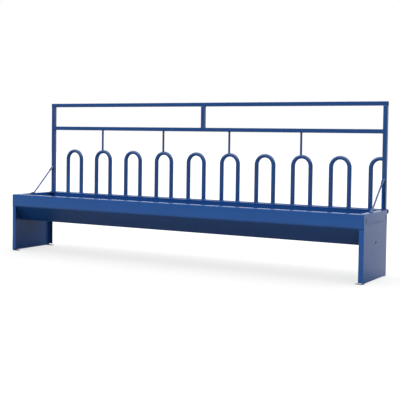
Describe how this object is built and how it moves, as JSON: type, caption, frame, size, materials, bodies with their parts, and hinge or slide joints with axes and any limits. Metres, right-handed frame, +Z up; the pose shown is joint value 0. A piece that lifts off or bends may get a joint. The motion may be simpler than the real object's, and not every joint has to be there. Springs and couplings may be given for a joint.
{
  "type": "bunk feeder",
  "caption": "Long folded-sheet feed trough on two end panels, with a tube head frame of hoops and rails standing along its back edge.",
  "frame": {"origin": "on the floor, under the middle of the whole object's box", "axes": "+X along the trough towards the half hoop, +Y from the front apron to the head frame, +Z up"},
  "size_m": [3, 0.502, 1.2145],
  "materials": {
    "blue_enamel": "glossy baked blue enamel on mild steel",
    "zinc": "dull zinc plating"
  },
  "bodies": {
    "root": {"trough_body": "blue_enamel", "left_end_panel": "blue_enamel", "right_end_panel": "blue_enamel", "base_rail": "blue_enamel", "left_post": "blue_enamel", "right_post": "blue_enamel", "top_rail": "blue_enamel", "neck_rail": "blue_enamel", "center_strut": "blue_enamel", "hoop_1": "blue_enamel", "hoop_2": "blue_enamel", "hoop_3": "blue_enamel", "hoop_4": "blue_enamel", "hoop_5": "blue_enamel", "hoop_6": "blue_enamel", "hoop_7": "blue_enamel", "hoop_8": "blue_enamel", "hoop_9": "blue_enamel", "half_hoop_10": "blue_enamel", "hanger_rod_1": "blue_enamel", "hanger_rod_2": "blue_enamel", "hanger_rod_3": "blue_enamel", "hanger_rod_4": "blue_enamel", "left_stay": "blue_enamel", "right_stay": "blue_enamel", "left_stay_bolt": "zinc", "left_stay_nut": "zinc", "left_front_foot": "zinc", "left_back_foot": "zinc", "right_stay_bolt": "zinc", "right_stay_nut": "zinc", "right_front_foot": "zinc", "right_back_foot": "zinc"}
  },
  "joints": []
}
